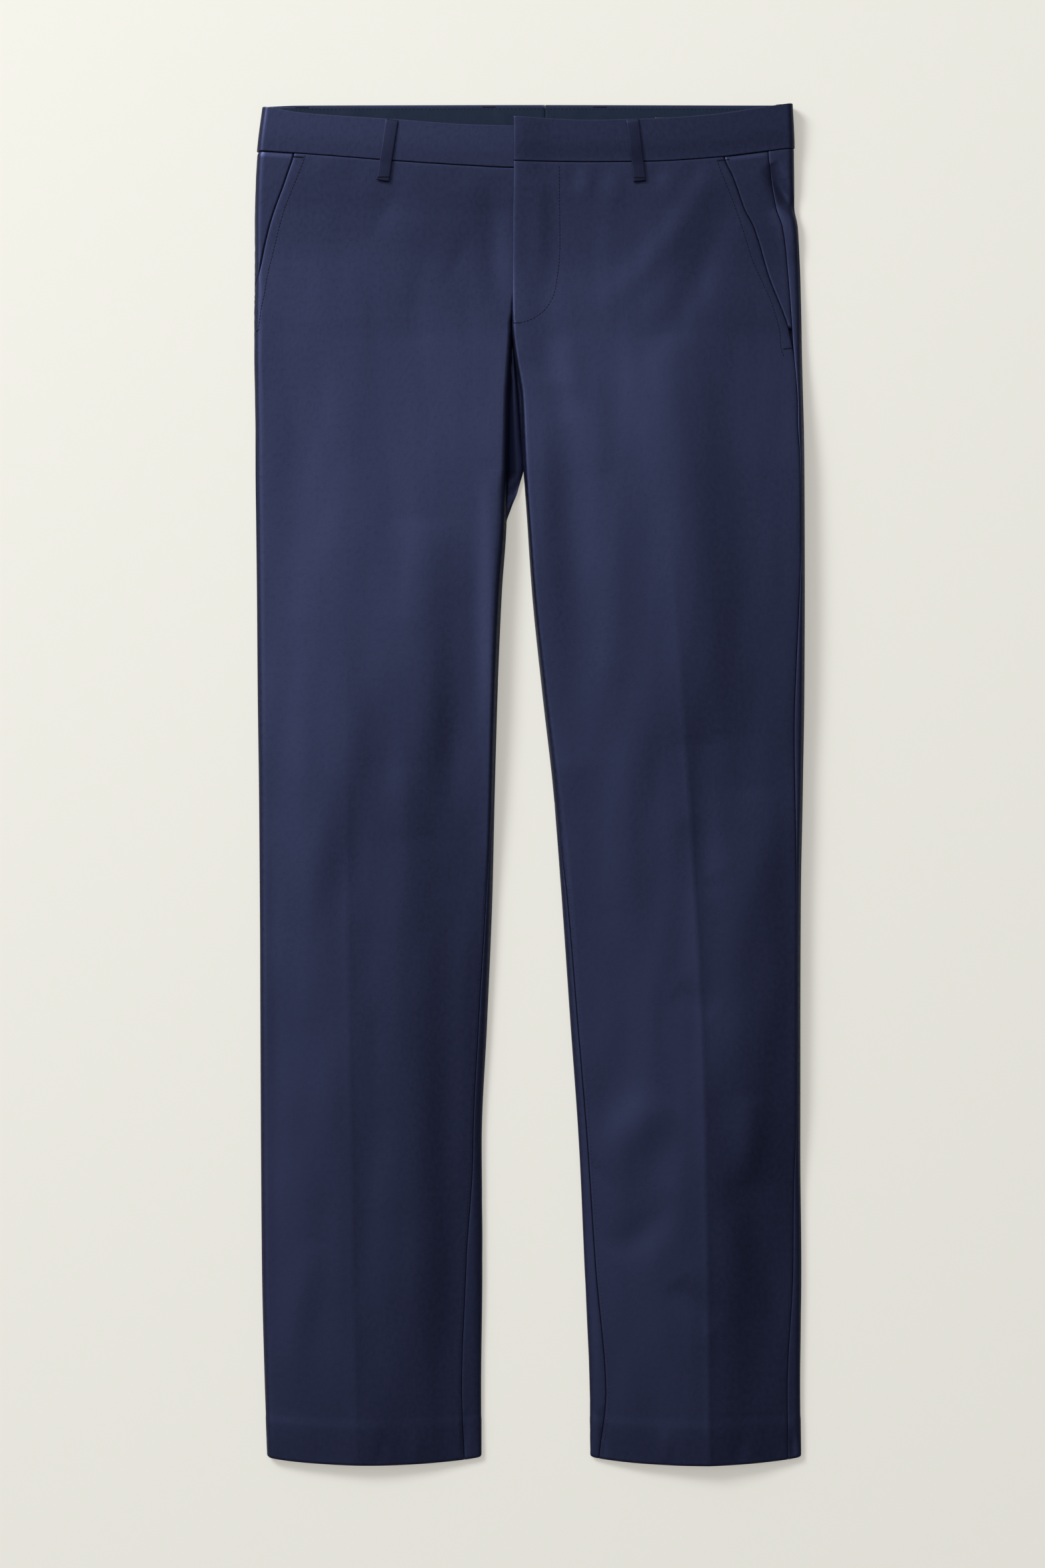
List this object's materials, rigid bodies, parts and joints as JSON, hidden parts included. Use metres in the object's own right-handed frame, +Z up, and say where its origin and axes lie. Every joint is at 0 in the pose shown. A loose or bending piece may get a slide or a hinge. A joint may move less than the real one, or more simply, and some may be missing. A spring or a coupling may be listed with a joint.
{
  "type": "dress trousers",
  "caption": "Flat-front dress trousers laid flat on their back, with a fly, slant pockets, belt loops, pressed creases and plain turned-up hems.",
  "frame": {"origin": "middle of the garment's outline, on the surface that it lies on", "axes": "+Y from the hems to the waist, +Z up out of the surface, +X to the wearer's left"},
  "size_m": [0.451, 1.112, 0.0179],
  "materials": {
    "cloth": "matt navy wool twill with a faint sheen",
    "lining": "dark blue-green band lining",
    "zip_tape": "woven tape with its teeth",
    "metal": "satin nickel",
    "label": "plain dark satin, blank"
  },
  "bodies": {
    "root": {"front_right": "cloth", "front_left": "cloth", "back_right": "cloth", "back_left": "cloth", "waistband_right": "cloth", "waistband_left": "cloth", "pocket_facing_right": "cloth", "pocket_facing_left": "cloth", "fly_facing": "cloth", "hem_right": "cloth", "hem_left": "cloth", "belt_loop_front_right": "cloth", "belt_loop_front_left": "cloth", "belt_loop_side_right": "cloth", "belt_loop_side_left": "cloth", "belt_loop_back_right": "cloth", "belt_loop_back_left": "cloth", "waist_lining_right": "lining", "waist_lining_left": "lining", "zip_tape": "zip_tape", "zip_slider": "metal", "waist_hook": "metal", "waist_bar": "metal", "label": "label"}
  },
  "joints": []
}
